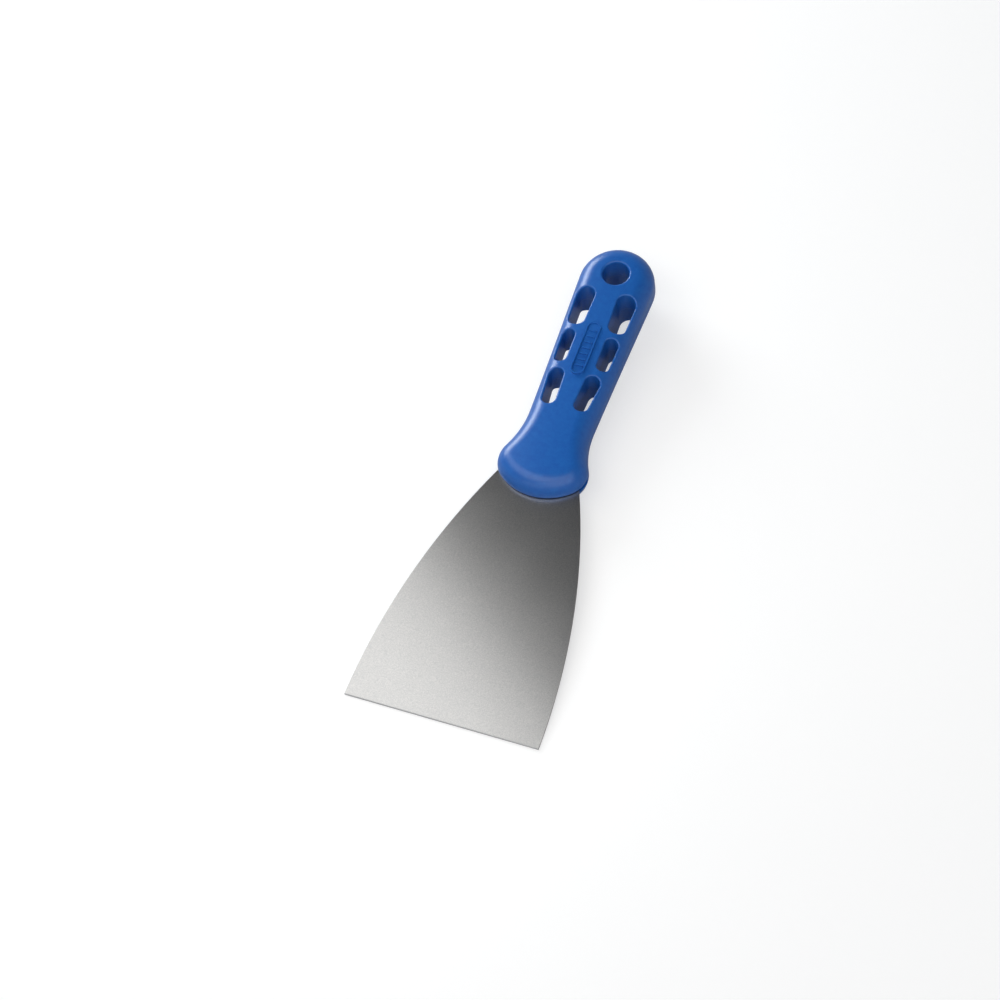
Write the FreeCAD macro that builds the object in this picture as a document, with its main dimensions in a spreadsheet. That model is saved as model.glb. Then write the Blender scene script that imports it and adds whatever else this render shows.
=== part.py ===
"""Taping knife: a satin steel blade with a hidden tang, and a plastic handle moulded over it.

Both pieces are drawn in the knife's own frame: X across the blade, Y from the working edge to the
butt, Z out of the front face, with the blade's middle plane at Z = 0. At the end they are laid down
together, front face up, the way the knife rests on a bench: on its working edge and on the
underside of the handle's bulge.
"""

import FreeCAD, Part
import math
import os

import Sketcher
from FreeCAD import Placement, Rotation, Vector

START = 1
END = 2
CENTRE = 3
ORIGIN = (-1, START)
SIDES = (1, -1)

DIMENSIONS = {
    # blade
    "blade_width": 80.0,
    "blade_thickness": 0.9,
    "flank_radius": 296.0,
    "edge_bevel": 0.3,
    "shoulder_width": 29.2,
    "shoulder_height": 118.0,
    "shoulder_radius": 6.0,
    "tang_width": 7.0,
    "tang_end": 192.0,
    "lock_hole_diameter": 4.2,
    "lock_hole_first": 133.0,
    "lock_hole_pitch": 24.0,
    # outline of the handle
    "butt_radius": 15.9,
    "butt_end": 224.4,
    "waist_radius": 38.0,
    "waist_height": 138.6,
    "waist_half_width": 13.85,
    "bulge_radius": 10.8,
    "mouth_radius": 23.2,
    "mouth_height": 103.4,
    # cross-section of the handle
    "slab_width": 52.0,
    "crown_radius": 110.0,
    "soft_edge_radius": 7.4,
    "trim_margin": 1.0,
    # openings
    "rim_radius": 0.6,
    "hang_hole_diameter": 11.2,
    "hang_hole_height": 209.3,
    "hang_rim_radius": 0.9,
    "mouth_gap": 0.6,
    "mouth_depth": 2.6,
    "mouth_slot_width": 39.2,
    # badge
    "badge_length": 26.0,
    "badge_width": 6.0,
    "badge_middle": 171.3,
    "badge_line": 0.55,
    "badge_relief": 0.3,
    "badge_root": 2.0,
    "badge_bar_length": 3.2,
    "badge_bar_pitch": 2.9,
    # how the knife lies
    "lie_angle": 4.26,
}

# half the handle's thickness, measured at distances from the working edge
THICKNESS_STATIONS = {
    "mouth": {"station": 98.0, "half": 7.9},
    "bulge": {"station": 118.0, "half": 8.8},
    "waist": {"station": 146.0, "half": 8.6},
    "palm": {"station": 186.0, "half": 9.3},
    "butt": {"station": 230.0, "half": 8.9},
}

# each window is an egg shape: a large arc towards the butt and a smaller one towards the blade
WINDOWS = {
    "top": {
        "high_x": 8.7,
        "high_y": 196.4,
        "high_radius": 3.9,
        "low_x": 8.7,
        "low_y": 185.2,
        "low_radius": 3.5,
    },
    "middle": {
        "high_x": 9.2,
        "high_y": 176.2,
        "high_radius": 2.7,
        "low_x": 9.0,
        "low_y": 165.8,
        "low_radius": 2.5,
    },
    "bottom": {
        "high_x": 7.7,
        "high_y": 156.8,
        "high_radius": 3.1,
        "low_x": 6.9,
        "low_y": 145.5,
        "low_radius": 2.9,
    },
}

LOCK_HOLES = 3
BADGE_BARS = 7

# in mm: places this near each other are the same place, and a rim lies at least this far from the
# middle plane
SAME_PLACE = 0.01
CLEAR_OF_MIDDLE = 1.0
# a fillet or chamfer that leaves less of its body than this share has gone wrong
LEAST_LEFT = 0.8

doc = FreeCAD.newDocument("taping_knife")
sheet = doc.addObject("Spreadsheet::Sheet", "dimensions")


def fill_sheet():
    """One row per driving dimension: its name beside its value, which has the name as its alias."""
    rows = dict(DIMENSIONS)
    for table in (THICKNESS_STATIONS, WINDOWS):
        for name, values in table.items():
            for word, value in values.items():
                rows[name + "_" + word] = value
    for row, (alias, value) in enumerate(rows.items(), start=1):
        sheet.set("A%d" % row, alias)
        sheet.set("B%d" % row, str(value))
        sheet.setAlias("B%d" % row, alias)
    doc.recompute()


def size(alias):
    """A cell's value, to place geometry where its constraints will hold it."""
    return float(sheet.get(alias))


# ---------------------------------------------------------------- sketch helpers


def new_sketch(body, name, role="XY_Plane", offset=0.0):
    """An empty sketch on one of the body's own origin planes, moved along the plane's normal."""
    planes = {feature.Role: feature for feature in body.Origin.OriginFeatures}
    sketch = body.newObject("Sketcher::SketchObject", name)
    sketch.AttachmentSupport = (planes[role], [""])
    sketch.MapMode = "FlatFace"
    sketch.AttachmentOffset = Placement(Vector(0, 0, offset), Rotation())
    return sketch


def line(sketch, start, end):
    return sketch.addGeometry(Part.LineSegment(start, end))


def arc(sketch, centre, radius, start, end, bulge):
    """An arc from start to end that passes the point reached from the centre along bulge."""
    through = centre + Vector(bulge).normalize() * radius
    return sketch.addGeometry(Part.Arc(start, through, end))


def end_at(sketch, curve, place):
    """Which end of a curve is the one at a place."""
    gaps = {end: sketch.getPoint(curve, end).distanceToPoint(place) for end in (START, END)}
    return min(gaps, key=gaps.get)


def join(sketch, kind, one, other, place):
    """Ties two curves together where they meet: Coincident for a corner, Tangent for a smooth joint."""
    ends = (one, end_at(sketch, one, place), other, end_at(sketch, other, place))
    sketch.addConstraint(Sketcher.Constraint(kind, *ends))


def bind(sketch, kind, where, value, expression):
    """A dimension of the sketch that follows an expression on the sheet."""
    index = sketch.addConstraint(Sketcher.Constraint(kind, *where, value))
    sketch.setExpression("Constraints[%d]" % index, expression)


def bind_point(sketch, curve, end, place, x_expression, y_expression):
    """Holds one point of a curve at a place given by two expressions on the sheet."""
    for kind, coordinate, expression in (
        ("DistanceX", place.x, x_expression),
        ("DistanceY", place.y, y_expression),
    ):
        if expression == "0":
            axis = -2 if kind == "DistanceX" else -1
            sketch.addConstraint(Sketcher.Constraint("PointOnObject", curve, end, axis))
        else:
            bind(sketch, kind, (*ORIGIN, curve, end), coordinate, expression)


def tangent_places(low, low_radius, high, high_radius, side):
    """Where the straight line that hugs two circles on one side touches each of them."""
    along = (high - low).normalize()
    across = Vector(along.y, -along.x, 0) * side
    lean = math.asin((low_radius - high_radius) / low.distanceToPoint(high))
    normal = across * math.cos(lean) + along * math.sin(lean)
    return low + normal * low_radius, high + normal * high_radius


def circle_crossing(one, one_radius, other, other_radius, side):
    """The point where two circles cross, to the right (1) or left (-1) of the way from one to other."""
    gap = one.distanceToPoint(other)
    along = (other - one).normalize()
    across = Vector(along.y, -along.x, 0) * side
    forward = (gap**2 + one_radius**2 - other_radius**2) / (2 * gap)
    return one + along * forward + across * math.sqrt(one_radius**2 - forward**2)


def rectangle(sketch, low, high, low_expressions, high_expressions):
    """A rectangle held at two opposite corners."""
    corners = [low, Vector(high.x, low.y, 0), high, Vector(low.x, high.y, 0)]
    turns = list(zip(corners, corners[1:] + corners[:1]))
    edges = [line(sketch, start, end) for start, end in turns]
    for number, (start, _) in enumerate(turns):
        join(sketch, "Coincident", edges[number - 1], edges[number], start)
        kind = "Horizontal" if number % 2 == 0 else "Vertical"
        sketch.addConstraint(Sketcher.Constraint(kind, edges[number]))
    bind_point(sketch, edges[0], START, low, *low_expressions)
    bind_point(sketch, edges[2], START, high, *high_expressions)


# ---------------------------------------------------------------- feature helpers


def symmetric_feature(body, kind, name, sketch, length):
    """A pad or pocket that reaches the same way in front of and behind its sketch."""
    feature = body.newObject("PartDesign::" + kind, name)
    feature.Profile = sketch
    feature.SideType = "Symmetric"
    feature.setExpression("Length", length)
    return feature


def cut(body, name, sketch, length):
    """A symmetric pocket that has to take material away."""
    before = body.Shape.Volume
    feature = symmetric_feature(body, "Pocket", name, sketch, length)
    doc.recompute()
    if not body.Shape.Volume < before:
        raise RuntimeError(name + " cut nothing")
    return feature


def dress(body, kind, name, wanted, radius, dimension="Radius"):
    """A fillet or chamfer on the edges of the body that a test picks out."""
    tip = body.Tip
    edges = ["Edge%d" % (i + 1) for i, edge in enumerate(tip.Shape.Edges) if wanted(edge)]
    feature = body.newObject("PartDesign::" + kind, name)
    feature.Base = (tip, edges)
    feature.setExpression(dimension, radius)
    before = tip.Shape.Volume
    doc.recompute()
    if not LEAST_LEFT * before < body.Shape.Volume < before:
        raise RuntimeError(name + " went wrong")
    return feature


def on_one_face(edge):
    """Whether an edge lies wholly on the front half or wholly on the back half."""
    box = edge.BoundBox
    return box.ZMin > CLEAR_OF_MIDDLE or box.ZMax < -CLEAR_OF_MIDDLE


def within(box, inner):
    """Whether a box covers another one, seen along Z."""
    return (
        box.XMin <= inner.XMin
        and inner.XMax <= box.XMax
        and box.YMin <= inner.YMin
        and inner.YMax <= box.YMax
    )


# ---------------------------------------------------------------- blade


def blade_outline(sketch):
    """Straight working edge, arched flanks, square shoulders and a narrow tang with a round end."""
    half_edge = size("blade_width") / 2
    half_shoulder = size("shoulder_width") / 2
    half_tang = size("tang_width") / 2
    shoulder = size("shoulder_height")
    inner = size("shoulder_radius")
    straight_end = size("tang_end") - half_tang

    edge = line(sketch, Vector(-half_edge, 0, 0), Vector(half_edge, 0, 0))
    tip = arc(
        sketch,
        Vector(0, straight_end, 0),
        half_tang,
        Vector(half_tang, straight_end, 0),
        Vector(-half_tang, straight_end, 0),
        (0, 1, 0),
    )
    for side in SIDES:
        corner = Vector(side * half_edge, 0, 0)
        flank_end = Vector(side * half_shoulder, shoulder, 0)
        fillet_start = Vector(side * (half_tang + inner), shoulder, 0)
        fillet_end = Vector(side * half_tang, shoulder + inner, 0)
        tang_end = Vector(side * half_tang, straight_end, 0)
        flank_centre = circle_crossing(
            corner, size("flank_radius"), flank_end, size("flank_radius"), -side
        )
        flank_middle = (corner + flank_end) / 2 - flank_centre

        flank = arc(sketch, flank_centre, size("flank_radius"), corner, flank_end, flank_middle)
        step = line(sketch, flank_end, fillet_start)
        fillet_centre = Vector(fillet_start.x, fillet_end.y, 0)
        fillet = arc(sketch, fillet_centre, inner, fillet_start, fillet_end, (-side, -1, 0))
        strip = line(sketch, fillet_end, tang_end)

        join(sketch, "Coincident", edge, flank, corner)
        join(sketch, "Coincident", flank, step, flank_end)
        join(sketch, "Tangent", step, fillet, fillet_start)
        join(sketch, "Tangent", fillet, strip, fillet_end)
        join(sketch, "Tangent", strip, tip, tang_end)
        bind(sketch, "Radius", (flank,), size("flank_radius"), "dimensions.flank_radius")
        bind(sketch, "Radius", (fillet,), inner, "dimensions.shoulder_radius")
        sign = "" if side > 0 else "-"
        bind_point(
            sketch, flank, end_at(sketch, flank, corner), corner, sign + "dimensions.blade_width / 2", "0"
        )
        bind_point(
            sketch,
            flank,
            end_at(sketch, flank, flank_end),
            flank_end,
            sign + "dimensions.shoulder_width / 2",
            "dimensions.shoulder_height",
        )
        sketch.addConstraint(Sketcher.Constraint("Horizontal", step))
        sketch.addConstraint(Sketcher.Constraint("Vertical", strip))
    bind(sketch, "Radius", (tip,), half_tang, "dimensions.tang_width / 2")
    bind_point(
        sketch,
        tip,
        CENTRE,
        Vector(0, straight_end, 0),
        "0",
        "dimensions.tang_end - dimensions.tang_width / 2",
    )


def lock_holes(sketch):
    """The punched holes along the tang, which the handle's plastic fills."""
    for step in range(LOCK_HOLES):
        height = size("lock_hole_first") + step * size("lock_hole_pitch")
        centre = Vector(0, height, 0)
        radius = size("lock_hole_diameter") / 2
        hole = sketch.addGeometry(Part.Circle(centre, Vector(0, 0, 1), radius))
        bind(sketch, "Diameter", (hole,), 2 * radius, "dimensions.lock_hole_diameter")
        bind_point(
            sketch,
            hole,
            CENTRE,
            centre,
            "0",
            "dimensions.lock_hole_first + %d * dimensions.lock_hole_pitch" % step,
        )


def make_blade():
    """The blade and its tang, punched from one strip, with a small bevel on the working edge."""
    body = doc.addObject("PartDesign::Body", "blade")
    sketch = new_sketch(body, "blade_outline")
    blade_outline(sketch)
    lock_holes(sketch)
    symmetric_feature(body, "Pad", "strip", sketch, "dimensions.blade_thickness")
    doc.recompute()

    def working_edge(edge):
        box = edge.BoundBox
        return box.YMax < SAME_PLACE and box.XLength > SAME_PLACE

    dress(body, "Chamfer", "edge_bevel", working_edge, "dimensions.edge_bevel", "Size")
    return body


# ---------------------------------------------------------------- handle


def crowned_section(body, name):
    """One station of the handle's slab: straight sides, and a crowned front and back."""
    station = size(name + "_station")
    half = size(name + "_half")
    radius = size("crown_radius")
    half_width = size("slab_width") / 2
    corner_height = half - radius + math.sqrt(radius**2 - half_width**2)

    sketch = new_sketch(body, name + "_section", "XZ_Plane", -station)
    sketch.setExpression("AttachmentOffset.Base.z", "-dimensions.%s_station" % name)
    sides = []
    for side in SIDES:
        low = Vector(side * half_width, -corner_height, 0)
        high = Vector(side * half_width, corner_height, 0)
        sides.append(line(sketch, low, high))
        sketch.addConstraint(Sketcher.Constraint("Vertical", sides[-1]))
    for face in SIDES:
        centre = Vector(0, face * (half - radius), 0)
        right = Vector(half_width, face * corner_height, 0)
        left = Vector(-half_width, face * corner_height, 0)
        crown = arc(sketch, centre, radius, right, left, (0, face, 0))
        join(sketch, "Coincident", sides[0], crown, right)
        join(sketch, "Coincident", sides[1], crown, left)
        bind(sketch, "Radius", (crown,), radius, "dimensions.crown_radius")
        sign = "" if face > 0 else "-"
        bind_point(
            sketch,
            crown,
            CENTRE,
            centre,
            "0",
            sign + "(dimensions.%s_half - dimensions.crown_radius)" % name,
        )
    for side, edge in zip(SIDES, sides):
        place = (*ORIGIN, edge, START)
        sign = "" if side > 0 else "-"
        bind(sketch, "DistanceX", place, side * half_width, sign + "dimensions.slab_width / 2")
    return sketch


def handle_outline(sketch):
    """Round butt, straight tapering flanks, a waist, the ferrule's bulge and its arched mouth."""
    butt_radius = size("butt_radius")
    waist_radius = size("waist_radius")
    bulge_radius = size("bulge_radius")
    mouth_radius = size("mouth_radius")
    butt = Vector(0, size("butt_end") - butt_radius, 0)
    mouth = Vector(0, size("mouth_height") + mouth_radius, 0)

    joints = {}
    for side in SIDES:
        waist = Vector(side * (size("waist_half_width") + waist_radius), size("waist_height"), 0)
        bulge = circle_crossing(
            waist, waist_radius + bulge_radius, mouth, mouth_radius - bulge_radius, -side
        )
        flank_low, flank_high = tangent_places(waist, -waist_radius, butt, butt_radius, side)
        waist_low = waist + (bulge - waist).normalize() * waist_radius
        bulge_low = mouth + (bulge - mouth).normalize() * mouth_radius
        joints[side] = (flank_high, bulge_low)

        flank = line(sketch, flank_low, flank_high)
        hollow = arc(sketch, waist, waist_radius, flank_low, waist_low, (flank_low + waist_low) / 2 - waist)
        swell = arc(sketch, bulge, bulge_radius, waist_low, bulge_low, (side, 0, 0))
        join(sketch, "Tangent", flank, hollow, flank_low)
        join(sketch, "Tangent", hollow, swell, waist_low)
        bind(sketch, "Radius", (hollow,), waist_radius, "dimensions.waist_radius")
        bind(sketch, "Radius", (swell,), bulge_radius, "dimensions.bulge_radius")
        sign = "" if side > 0 else "-"
        bind_point(
            sketch,
            hollow,
            CENTRE,
            waist,
            sign + "(dimensions.waist_half_width + dimensions.waist_radius)",
            "dimensions.waist_height",
        )
        joints[side] += (flank, swell)

    ends = (
        ("butt", butt, butt_radius, (0, 1, 0), 0, 2, "dimensions.butt_end - dimensions.butt_radius"),
        ("mouth", mouth, mouth_radius, (0, -1, 0), 1, 3, "dimensions.mouth_height + dimensions.mouth_radius"),
    )
    for name, centre, radius, way, place, neighbour, height in ends:
        right = joints[1][place]
        left = joints[-1][place]
        end_arc = arc(sketch, centre, radius, right, left, way)
        join(sketch, "Tangent", joints[1][neighbour], end_arc, right)
        join(sketch, "Tangent", joints[-1][neighbour], end_arc, left)
        bind(sketch, "Radius", (end_arc,), radius, "dimensions.%s_radius" % name)
        bind_point(sketch, end_arc, CENTRE, centre, "0", height)


def window_outline(sketch, name, side):
    """A window: two arcs of different size joined by straight sides."""
    ends = {}
    for level in ("low", "high"):
        stem = "%s_%s" % (name, level)
        centre = Vector(side * size(stem + "_x"), size(stem + "_y"), 0)
        ends[level] = (centre, size(stem + "_radius"), stem)
    low, low_radius, _ = ends["low"]
    high, high_radius, _ = ends["high"]
    along = (high - low).normalize()
    touches = {hand: tangent_places(low, low_radius, high, high_radius, hand) for hand in SIDES}
    straights = {hand: line(sketch, *touches[hand]) for hand in SIDES}
    for place, (level, way) in enumerate((("low", along * -1), ("high", along))):
        centre, radius, stem = ends[level]
        cap = arc(sketch, centre, radius, touches[1][place], touches[-1][place], way)
        for hand in SIDES:
            join(sketch, "Tangent", straights[hand], cap, touches[hand][place])
        bind(sketch, "Radius", (cap,), radius, "dimensions.%s_radius" % stem)
        sign = "" if side > 0 else "-"
        bind_point(
            sketch,
            cap,
            CENTRE,
            centre,
            sign + "dimensions.%s_x" % stem,
            "dimensions.%s_y" % stem,
        )


def hang_hole(sketch):
    """The round hole near the butt that the knife hangs by."""
    centre = Vector(0, size("hang_hole_height"), 0)
    diameter = size("hang_hole_diameter")
    hole = sketch.addGeometry(Part.Circle(centre, Vector(0, 0, 1), diameter / 2))
    bind(sketch, "Diameter", (hole,), diameter, "dimensions.hang_hole_diameter")
    bind_point(sketch, hole, CENTRE, centre, "0", "dimensions.hang_hole_height")


def mouth_slot_outline(sketch):
    """Everything below a second arc behind the mouth's: what the slot takes from the ferrule."""
    radius = size("mouth_radius") - size("mouth_depth")
    centre = Vector(0, size("mouth_height") + size("mouth_radius"), 0)
    half_width = size("mouth_slot_width") / 2
    height = centre.y - math.sqrt(radius**2 - half_width**2)
    inner = arc(
        sketch,
        centre,
        radius,
        Vector(half_width, height, 0),
        Vector(-half_width, height, 0),
        (0, -1, 0),
    )
    base = line(sketch, Vector(half_width, 0, 0), Vector(-half_width, 0, 0))
    for side in SIDES:
        top = Vector(side * half_width, height, 0)
        foot = Vector(side * half_width, 0, 0)
        wall = line(sketch, top, foot)
        join(sketch, "Coincident", inner, wall, top)
        join(sketch, "Coincident", wall, base, foot)
        sketch.addConstraint(Sketcher.Constraint("Vertical", wall))
        sign = "" if side > 0 else "-"
        width = sign + "dimensions.mouth_slot_width / 2"
        bind_point(sketch, base, end_at(sketch, base, foot), foot, width, "0")
    bind(sketch, "Radius", (inner,), radius, "dimensions.mouth_radius - dimensions.mouth_depth")
    height = "dimensions.mouth_height + dimensions.mouth_radius"
    bind_point(sketch, inner, CENTRE, centre, "0", height)


def badge_bars(sketch):
    """A plain row of short bars across the badge."""
    half_width = size("badge_bar_length") / 2
    half_line = size("badge_line") / 2
    for step in range(BADGE_BARS):
        index = step - (BADGE_BARS - 1) / 2
        height = size("badge_middle") + index * size("badge_bar_pitch")
        middle = "dimensions.badge_middle + %g * dimensions.badge_bar_pitch" % index
        rectangle(
            sketch,
            Vector(-half_width, height - half_line, 0),
            Vector(half_width, height + half_line, 0),
            ("-dimensions.badge_bar_length / 2", middle + " - dimensions.badge_line / 2"),
            ("dimensions.badge_bar_length / 2", middle + " + dimensions.badge_line / 2"),
        )


def obround(sketch, inset):
    """The badge's outline, or with an inset of 1 the inner side of its raised line."""
    radius = size("badge_width") / 2 - inset * size("badge_line")
    reach = (size("badge_length") - size("badge_width")) / 2
    low = Vector(0, size("badge_middle") - reach, 0)
    high = Vector(0, size("badge_middle") + reach, 0)
    straights = {}
    for side in SIDES:
        offset = Vector(side * radius, 0, 0)
        straights[side] = line(sketch, low + offset, high + offset)
    for centre, way, sign in ((low, -1, "-"), (high, 1, "+")):
        right = centre + Vector(radius, 0, 0)
        left = centre - Vector(radius, 0, 0)
        cap = arc(sketch, centre, radius, right, left, (0, way, 0))
        join(sketch, "Tangent", straights[1], cap, right)
        join(sketch, "Tangent", straights[-1], cap, left)
        bind(
            sketch,
            "Radius",
            (cap,),
            radius,
            "dimensions.badge_width / 2 - %d * dimensions.badge_line" % inset,
        )
        height = "dimensions.badge_middle %s (dimensions.badge_length - dimensions.badge_width) / 2"
        bind_point(sketch, cap, CENTRE, centre, "0", height % sign)


def raise_badge(body):
    """A thin raised line round the badge, and the bars inside it, all at one height."""
    sketch = new_sketch(body, "badge_lines", offset=size("palm_half") - size("badge_root"))
    sketch.setExpression("AttachmentOffset.Base.z", "dimensions.palm_half - dimensions.badge_root")
    for inset in (0, 1):
        obround(sketch, inset)
    badge_bars(sketch)
    badge = body.newObject("PartDesign::Pad", "badge")
    badge.Profile = sketch
    badge.setExpression("Length", "dimensions.badge_root + dimensions.badge_relief")
    doc.recompute()


def make_handle():
    """The moulding: a crowned slab trimmed to its outline, softened, opened and fitted to the tang."""
    body = doc.addObject("PartDesign::Body", "handle")
    sections = [crowned_section(body, name) for name in THICKNESS_STATIONS]
    slab = body.newObject("PartDesign::AdditiveLoft", "crowned_slab")
    slab.Profile = sections[0]
    slab.Sections = [(section, [""]) for section in sections[1:]]
    doc.recompute()

    trim = new_sketch(body, "trim_outline")
    handle_outline(trim)
    margin = size("trim_margin")
    half_width = size("slab_width") / 2 + margin
    rectangle(
        trim,
        Vector(-half_width, size("mouth_station") - margin, 0),
        Vector(half_width, size("butt_station") + margin, 0),
        (
            "-dimensions.slab_width / 2 - dimensions.trim_margin",
            "dimensions.mouth_station - dimensions.trim_margin",
        ),
        (
            "dimensions.slab_width / 2 + dimensions.trim_margin",
            "dimensions.butt_station + dimensions.trim_margin",
        ),
    )
    cut(body, "trimmed", trim, "dimensions.slab_width")
    dress(body, "Fillet", "soft_edges", on_one_face, "dimensions.soft_edge_radius")

    openings = []
    for name in WINDOWS:
        for side in SIDES:
            sketch = new_sketch(body, "%s_window_%s" % (name, "right" if side > 0 else "left"))
            window_outline(sketch, name, side)
            cut(body, sketch.Name + "_cut", sketch, "dimensions.slab_width")
            openings.append((sketch, "dimensions.rim_radius"))
    hole = new_sketch(body, "hang_hole")
    hang_hole(hole)
    cut(body, "hang_hole_cut", hole, "dimensions.slab_width")
    openings.append((hole, "dimensions.hang_rim_radius"))
    for sketch, radius in openings:
        box = sketch.Shape.BoundBox
        box.enlarge(SAME_PLACE)

        def on_rim(edge):
            return on_one_face(edge) and within(box, edge.BoundBox)

        dress(body, "Fillet", sketch.Name + "_rim", on_rim, radius)

    slot = new_sketch(body, "mouth_slot")
    mouth_slot_outline(slot)
    cut(body, "mouth_slot_cut", slot, "dimensions.blade_thickness + 2 * dimensions.mouth_gap")
    cavity = new_sketch(body, "tang_cavity")
    blade_outline(cavity)
    lock_holes(cavity)
    cut(body, "tang_cavity_cut", cavity, "dimensions.blade_thickness")
    raise_badge(body)
    return body


# ---------------------------------------------------------------- assembly and export


def lay_down(bodies):
    """Tips the knife onto its working edge and bulge, and centres what it covers on the origin."""
    tilt = Rotation(Vector(1, 0, 0), size("lie_angle"))
    for body in bodies:
        body.Placement = Placement(Vector(), tilt)
    doc.recompute()
    boxes = {body.Label: body.Shape.optimalBoundingBox() for body in bodies}
    whole = FreeCAD.BoundBox()
    for box in boxes.values():
        whole.add(box)
    foot = Vector(whole.Center.x, whole.Center.y, whole.ZMin)
    for body in bodies:
        body.Placement = Placement(-foot, tilt)
        body.setExpression("Placement.Rotation.Angle", "dimensions.lie_angle")
    doc.recompute()
    for name, box in boxes.items():
        print("%s stands %.3f mm above the bench" % (name, box.ZMin - whole.ZMin))
    print("knife origin is at", -foot)


def check():
    """Stops the build if any feature failed or any piece isn't one sound solid."""
    for feature in doc.Objects:
        if "Invalid" in feature.State or "Error" in feature.State:
            raise RuntimeError("%s failed: %s" % (feature.Name, feature.State))
    for body in doc.findObjects("PartDesign::Body"):
        shape = body.Shape
        if shape.isNull() or not shape.isValid() or len(shape.Solids) != 1:
            raise RuntimeError(body.Label + " is not one sound solid")
        print("%s: volume %.1f mm3" % (body.Label, shape.Volume))


fill_sheet()
pieces = [make_blade(), make_handle()]
lay_down(pieces)
check()
os.makedirs("parts", exist_ok=True)
for piece in pieces:
    piece.Shape.exportStep("parts/%s.step" % piece.Label)
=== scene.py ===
import math

import bpy
from mathutils import Matrix, Vector

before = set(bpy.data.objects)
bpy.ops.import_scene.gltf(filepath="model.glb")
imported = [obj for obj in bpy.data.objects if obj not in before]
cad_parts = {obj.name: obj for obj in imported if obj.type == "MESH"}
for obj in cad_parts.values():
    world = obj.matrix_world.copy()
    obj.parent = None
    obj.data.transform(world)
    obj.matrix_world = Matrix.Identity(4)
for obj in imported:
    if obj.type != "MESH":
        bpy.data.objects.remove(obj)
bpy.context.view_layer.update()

# how the knife lies: tipped about the middle of its working edge
LIE_ANGLE = math.radians(4.26)
EDGE_MIDDLE = (0, -0.11198, 0.00043)

# the parting line's half width, from its flat top to where it has faded out, and its height
PARTING_LINE_TOP = 0.00006
PARTING_LINE_FOOT = 0.0002
PARTING_LINE_HEIGHT = 0.00008

# relief of the fine grains, in metres
STEEL_SPECKLE_HEIGHT = 0.000006
STEEL_LINE_HEIGHT = 0.000002
PLASTIC_GRAIN_HEIGHT = 0.000016

# the middle of a noise pattern, where nearly all of its values lie
NOISE_LOW = 0.3
NOISE_HIGH = 0.7

# how much paler the floor and the world are to the camera than to the knife
FLOOR_GLOW = 0.53
WORLD_LIFT = 1.85
FLOOR_REACH = 6.0


# ---------------------------------------------------------------- node helpers


def new_material(name):
    """A material with an empty Principled shader, and the pieces needed to wire it up."""
    material = bpy.data.materials.new(name)
    material.use_nodes = True
    nodes = material.node_tree.nodes
    nodes.clear()
    output = nodes.new("ShaderNodeOutputMaterial")
    shader = nodes.new("ShaderNodeBsdfPrincipled")
    material.node_tree.links.new(shader.outputs["BSDF"], output.inputs["Surface"])
    return material, shader


def add_node(material, kind, **inputs):
    """A node of a kind, with its inputs set to values or wired to other nodes' sockets."""
    node = material.node_tree.nodes.new("ShaderNode" + kind)
    for name, value in inputs.items():
        socket = node.inputs[name.replace("_", " ")]
        if isinstance(value, bpy.types.NodeSocket):
            material.node_tree.links.new(value, socket)
        else:
            socket.default_value = value
    return node


def wire(material, output, target):
    """Links one node's output to another's input."""
    material.node_tree.links.new(output, target)


def object_coordinates(material, scale=(1, 1, 1)):
    """Object coordinates, in metres in the shared frame, stretched by a scale."""
    place = add_node(material, "TexCoord")
    return add_node(material, "Mapping", Vector=place.outputs["Object"], Scale=scale).outputs[0]


def noise(material, vector, scale, detail=3.0, roughness=0.5):
    """The factor of a noise texture."""
    return add_node(
        material, "TexNoise", Vector=vector, Scale=scale, Detail=detail, Roughness=roughness
    ).outputs["Fac"]


def remap(material, value, from_low, from_high, to_low, to_high):
    """A value carried from one range to another, and held inside it."""
    return add_node(
        material,
        "MapRange",
        Value=value,
        From_Min=from_low,
        From_Max=from_high,
        To_Min=to_low,
        To_Max=to_high,
    ).outputs[0]


def set_stops(node, low, high):
    """Gives a colour ramp its two (position, colour) stops."""
    for element, (position, colour) in zip(node.color_ramp.elements, (low, high)):
        element.position = position
        element.color = (*colour, 1)


def ramp(material, value, low, high):
    """A colour ramp between two (position, colour) stops."""
    node = add_node(material, "ValToRGB", Fac=value)
    set_stops(node, low, high)
    return node.outputs["Color"]


def bump(material, height, distance, below=None):
    """A normal bent by a height, on top of another bump's normal if there is one below."""
    node = add_node(material, "Bump", Height=height, Distance=distance)
    if below is not None:
        wire(material, below, node.inputs["Normal"])
    return node.outputs["Normal"]


# ---------------------------------------------------------------- materials


def satin_steel():
    """Rolled stainless strip: fine speckle with faint grinding lines across the blade."""
    material, shader = new_material("satin_steel_finish")
    shader.inputs["Metallic"].default_value = 1.0
    place = object_coordinates(material)
    speckle = noise(material, place, 2200.0, 2.0, 0.6)
    cloud = noise(material, place, 45.0, 2.0)
    lines = noise(material, object_coordinates(material, (40, 1900, 1900)), 1.0, 2.0)
    colour = ramp(material, speckle, (0.3, (0.38, 0.385, 0.395)), (0.72, (0.51, 0.51, 0.505)))
    wire(material, colour, shader.inputs["Base Color"])
    roughness = remap(material, cloud, NOISE_LOW, NOISE_HIGH, 0.278, 0.292)
    wire(material, roughness, shader.inputs["Roughness"])
    grain = bump(material, speckle, STEEL_SPECKLE_HEIGHT)
    relief = bump(material, lines, STEEL_LINE_HEIGHT, below=grain)
    wire(material, relief, shader.inputs["Normal"])
    return material


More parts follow.
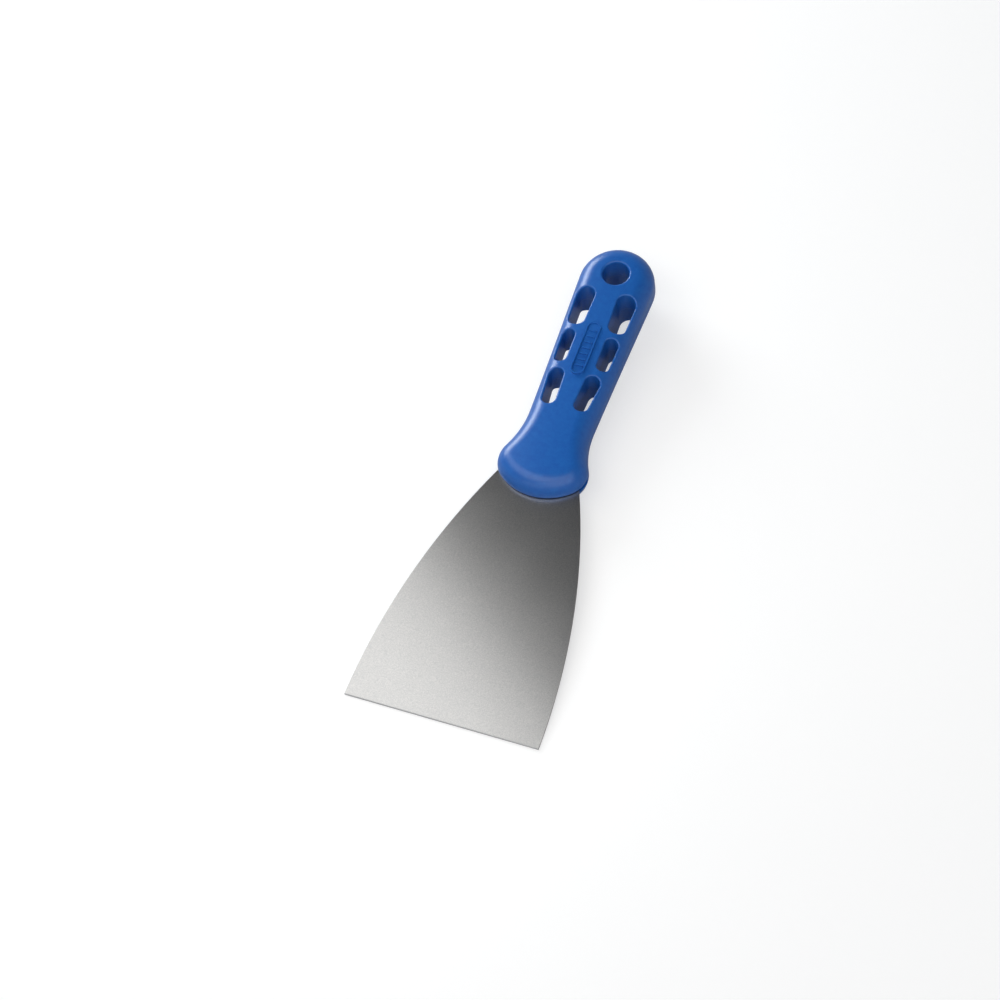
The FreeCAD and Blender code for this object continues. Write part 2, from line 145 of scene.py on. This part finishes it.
def blue_plastic():
    """Moulded polypropylene: a fine spark-eroded grain, and a parting line round its middle."""
    material, shader = new_material("blue_plastic_finish")
    place = object_coordinates(material)
    grain = noise(material, place, 1900.0, 3.0, 0.65)
    mottle = noise(material, place, 420.0, 5.0, 0.7)
    colour = ramp(
        material, mottle, (NOISE_LOW, (0.007, 0.088, 0.37)), (NOISE_HIGH, (0.011, 0.115, 0.42))
    )
    wire(material, colour, shader.inputs["Base Color"])
    roughness = remap(material, grain, NOISE_LOW, NOISE_HIGH, 0.29, 0.36)
    wire(material, roughness, shader.inputs["Roughness"])
    shader.inputs["IOR"].default_value = 1.49
    line = bump(material, parting_line(material), PARTING_LINE_HEIGHT)
    relief = bump(material, grain, PLASTIC_GRAIN_HEIGHT, below=line)
    wire(material, relief, shader.inputs["Normal"])
    return material


def parting_line(material):
    """A height of 1 on the blade's middle plane, where the mould's halves meet."""
    place = add_node(material, "TexCoord")
    flat = add_node(material, "Mapping", Vector=place.outputs["Object"])
    flat.vector_type = "TEXTURE"
    flat.inputs["Location"].default_value = EDGE_MIDDLE
    flat.inputs["Rotation"].default_value = (LIE_ANGLE, 0, 0)
    split = add_node(material, "SeparateXYZ", Vector=flat.outputs[0])
    distance = add_node(material, "Math")
    distance.operation = "ABSOLUTE"
    wire(material, split.outputs["Z"], distance.inputs[0])
    return remap(material, distance.outputs[0], PARTING_LINE_TOP, PARTING_LINE_FOOT, 1.0, 0.0)


def floor_paper():
    """Pale studio paper, with a glow that only the camera sees so that shadows stay light."""
    material, shader = new_material("studio_paper")
    place = object_coordinates(material)
    fibre = noise(material, place, 900.0, 4.0)
    colour = ramp(material, fibre, (0.2, (0.5, 0.5, 0.5)), (0.8, (0.54, 0.54, 0.54)))
    wire(material, colour, shader.inputs["Base Color"])
    shader.inputs["Roughness"].default_value = 0.9
    shader.inputs["Emission Color"].default_value = (1, 1, 1, 1)
    glow = add_node(material, "Math")
    glow.operation = "MULTIPLY"
    glow.inputs[1].default_value = FLOOR_GLOW
    wire(material, add_node(material, "LightPath").outputs["Is Camera Ray"], glow.inputs[0])
    wire(material, glow.outputs[0], shader.inputs["Emission Strength"])
    return material


def dress(node, material):
    """Puts a material in every slot of a CAD node's object."""
    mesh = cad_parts[node].data
    for index in range(len(mesh.materials)):
        mesh.materials[index] = material


# ---------------------------------------------------------------- studio


def studio_floor():
    """A wide square of the paper, level with the bottom of the knife."""
    mesh = bpy.data.meshes.new("floor")
    reach = FLOOR_REACH
    corners = [(-reach, -reach, 0), (reach, -reach, 0), (reach, reach, 0), (-reach, reach, 0)]
    mesh.from_pydata(corners, [], [(0, 1, 2, 3)])
    floor = bpy.data.objects.new("floor", mesh)
    bpy.context.scene.collection.objects.link(floor)
    mesh.materials.append(floor_paper())


def soft_box(name, centre, width, depth, radiance, target=None, turn=0.0, colour=(1, 1, 1)):
    """A rectangular softbox of even radiance, facing a target, or straight down and turned."""
    light = bpy.data.lights.new(name, "AREA")
    light.shape = "RECTANGLE"
    light.size = width
    light.size_y = depth
    light.energy = radiance * math.pi * width * depth
    light.color = colour
    box = bpy.data.objects.new(name, light)
    bpy.context.scene.collection.objects.link(box)
    box.location = centre
    box.visible_camera = False
    if target is None:
        box.rotation_euler = (0, 0, math.radians(turn))
    else:
        box.rotation_mode = "QUATERNION"
        box.rotation_quaternion = (Vector(target) - Vector(centre)).to_track_quat("-Z", "Y")
    return box


def keep_off(light, node):
    """Flags a light, so that it falls on everything but a CAD node."""
    flagged = bpy.data.collections.new(light.name + "_flag")
    flagged.objects.link(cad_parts[node])
    flagged.collection_objects[0].light_linking.link_state = "EXCLUDE"
    light.light_linking.receiver_collection = flagged


def studio_world():
    """A pale glow at the horizon under a dim ceiling, paler still as a backdrop."""
    world = bpy.data.worlds.new("studio")
    bpy.context.scene.world = world
    world.use_nodes = True
    tree = world.node_tree
    tree.nodes.clear()
    output = tree.nodes.new("ShaderNodeOutputWorld")
    background = tree.nodes.new("ShaderNodeBackground")
    place = tree.nodes.new("ShaderNodeTexCoord")
    split = tree.nodes.new("ShaderNodeSeparateXYZ")
    fade = tree.nodes.new("ShaderNodeValToRGB")
    set_stops(fade, (0.0, (0.5, 0.5, 0.51)), (0.85, (0.03, 0.032, 0.036)))
    tree.links.new(place.outputs["Generated"], split.inputs[0])
    tree.links.new(split.outputs["Z"], fade.inputs["Fac"])
    tree.links.new(fade.outputs["Color"], background.inputs["Color"])
    tree.links.new(background.outputs[0], output.inputs["Surface"])
    path = tree.nodes.new("ShaderNodeLightPath")
    lift = tree.nodes.new("ShaderNodeMapRange")
    lift.inputs["To Min"].default_value = 1.0
    lift.inputs["To Max"].default_value = WORLD_LIFT
    tree.links.new(path.outputs["Is Camera Ray"], lift.inputs["Value"])
    tree.links.new(lift.outputs["Result"], background.inputs["Strength"])


def studio_camera():
    """The photograph's view, from above the blade's right side, tilted a little."""
    azimuth = math.radians(27.813)
    elevation = math.radians(55.342)
    roll = math.radians(-8.787)
    distance = 1.0972
    target = Vector((-0.01155, -0.01403, 0.0086))
    back = Vector(
        (
            math.sin(azimuth) * math.cos(elevation),
            -math.cos(azimuth) * math.cos(elevation),
            math.sin(elevation),
        )
    )
    data = bpy.data.cameras.new("camera")
    data.lens = 98.98
    data.sensor_width = 36
    data.clip_start = 0.05
    data.clip_end = 50
    camera = bpy.data.objects.new("camera", data)
    bpy.context.scene.collection.objects.link(camera)
    upright = (-back).to_track_quat("-Z", "Y").to_matrix().to_4x4()
    camera.matrix_world = (
        Matrix.Translation(target + back * distance) @ upright @ Matrix.Rotation(roll, 4, "Z")
    )
    bpy.context.scene.camera = camera


dress("blade", satin_steel())
dress("handle", blue_plastic())
studio_floor()
studio_world()

# low over the blade: its near edge, blurred by the satin, is the blade's fade from pale to dark
soft_box(
    "blade_light",
    centre=(-0.158, -0.036, 0.26),
    width=0.34,
    depth=0.2,
    radiance=1.86,
    turn=-37,
    colour=(1, 0.985, 0.96),
)
# bright and to the left, for the highlights along the handle; in the blade it would glare
left_light = soft_box(
    "left_light",
    centre=(-0.68, 0.5, 0.34),
    width=0.5,
    depth=0.36,
    radiance=11.0,
    target=(0, 0.05, 0.02),
    colour=(0.93, 0.98, 1),
)
keep_off(left_light, "blade")
soft_box(
    "front_light",
    centre=(-0.3, -1.1, 0.55),
    width=0.9,
    depth=0.5,
    radiance=0.9,
    target=(0, -0.1, 0),
)
soft_box(
    "fill_light",
    centre=(0.9, -1.0, 1.7),
    width=2.4,
    depth=2.4,
    radiance=1.5,
    target=(0, 0, 0),
)
studio_camera()
bpy.context.scene.view_settings.view_transform = "Standard"
